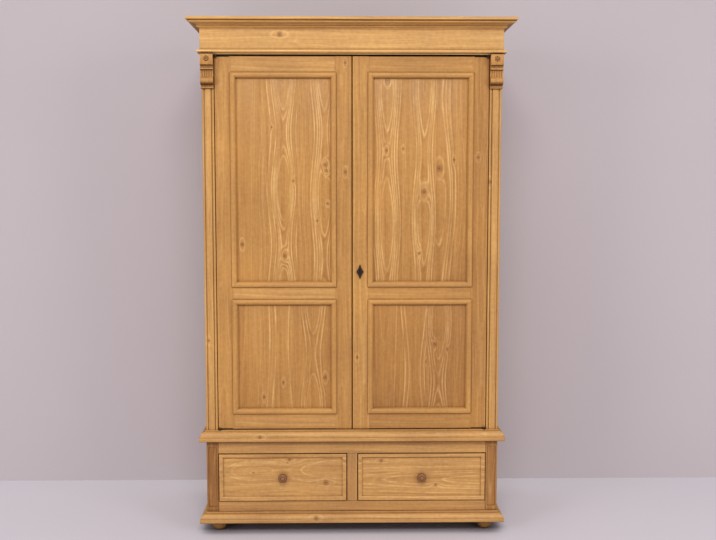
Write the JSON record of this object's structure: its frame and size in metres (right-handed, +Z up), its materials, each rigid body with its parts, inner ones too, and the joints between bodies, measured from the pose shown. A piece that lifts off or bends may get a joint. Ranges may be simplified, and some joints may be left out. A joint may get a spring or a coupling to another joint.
{
  "type": "wardrobe",
  "caption": "Free-standing pine wardrobe with hinged panelled doors, carved corbels, moulded cornice, and drawers in a base on bun feet.",
  "frame": {"origin": "on the floor under the middle of the wardrobe's box", "axes": "+X to the wardrobe's right as seen from the front, +Y from the front to the back, +Z up"},
  "size_m": [1.287, 0.6134, 2.06],
  "materials": {
    "pine": "waxed honey-coloured pine, satin",
    "pine_inside": "dry unfinished pine",
    "knob_wood": "darker reddish wood, waxed",
    "iron": "dark iron, rubbed"
  },
  "bodies": {
    "cabinet": {"foot_front_left": "pine", "foot_front_right": "pine", "foot_back_left": "pine", "foot_back_right": "pine", "plinth_moulding": "pine", "base_side_left": "pine", "base_side_right": "pine", "base_back": "pine_inside", "base_post_left": "pine", "base_post_right": "pine", "base_top_rail": "pine", "base_bottom_rail": "pine", "drawer_divider": "pine", "drawer_deck": "pine_inside", "waist_moulding": "pine", "carcass_floor": "pine_inside", "carcass_side_left": "pine", "carcass_side_right": "pine", "carcass_roof": "pine_inside", "back_panel": "pine_inside", "pilaster_left": "pine", "pilaster_right": "pine", "corbel_left": "pine", "corbel_right": "pine", "frieze": "pine", "frieze_bead": "pine", "cornice": "pine", "hat_shelf": "pine_inside", "hanging_rail": "pine_inside", "rail_socket_left": "pine_inside", "rail_socket_right": "pine_inside", "left_hinge_bottom_case_leaf": "iron", "left_hinge_top_case_leaf": "iron", "right_hinge_bottom_case_leaf": "iron", "right_hinge_top_case_leaf": "iron"},
    "left_door": {"left_door_frame": "pine", "left_door_panel_upper": "pine", "left_door_panel_lower": "pine", "left_door_moulding_upper": "pine", "left_door_moulding_lower": "pine", "left_hinge_bottom_door_leaf": "iron", "left_hinge_top_door_leaf": "iron", "door_bolt_plate": "iron"},
    "right_door": {"right_door_frame": "pine", "right_door_panel_upper": "pine", "right_door_panel_lower": "pine", "right_door_moulding_upper": "pine", "right_door_moulding_lower": "pine", "right_hinge_bottom_door_leaf": "iron", "right_hinge_top_door_leaf": "iron", "lock_case": "iron", "escutcheon": "iron"},
    "left_drawer": {"left_drawer_front": "pine", "left_drawer_box": "pine_inside", "left_drawer_knob": "knob_wood"},
    "right_drawer": {"right_drawer_front": "pine", "right_drawer_box": "pine_inside", "right_drawer_knob": "knob_wood"},
    "lock_bolt": {"lock_bolt": "iron"},
    "door_bolt": {"door_bolt": "iron"}
  },
  "joints": [
    {"name": "left_door_hinge", "type": "hinge", "parent": "cabinet", "child": "left_door", "pos_m": [-0.535, -0.25525, 0.428], "axis": [0, 0, -1], "range_deg": [0, 105]},
    {"name": "right_door_hinge", "type": "hinge", "parent": "cabinet", "child": "right_door", "pos_m": [0.535, -0.25525, 0.428], "axis": [0, 0, 1], "range_deg": [0, 105]},
    {"name": "left_drawer_slide", "type": "slide", "parent": "cabinet", "child": "left_drawer", "axis": [0, -1, 0], "range_m": [0, 0.4]},
    {"name": "right_drawer_slide", "type": "slide", "parent": "cabinet", "child": "right_drawer", "axis": [0, -1, 0], "range_m": [0, 0.4]},
    {"name": "lock_bolt_slide", "type": "slide", "parent": "right_door", "child": "lock_bolt", "axis": [-1, 0, 0], "range_m": [0, 0.01]},
    {"name": "door_bolt_slide", "type": "slide", "parent": "left_door", "child": "door_bolt", "axis": [0, 0, 1], "range_m": [0, 0.012]}
  ]
}
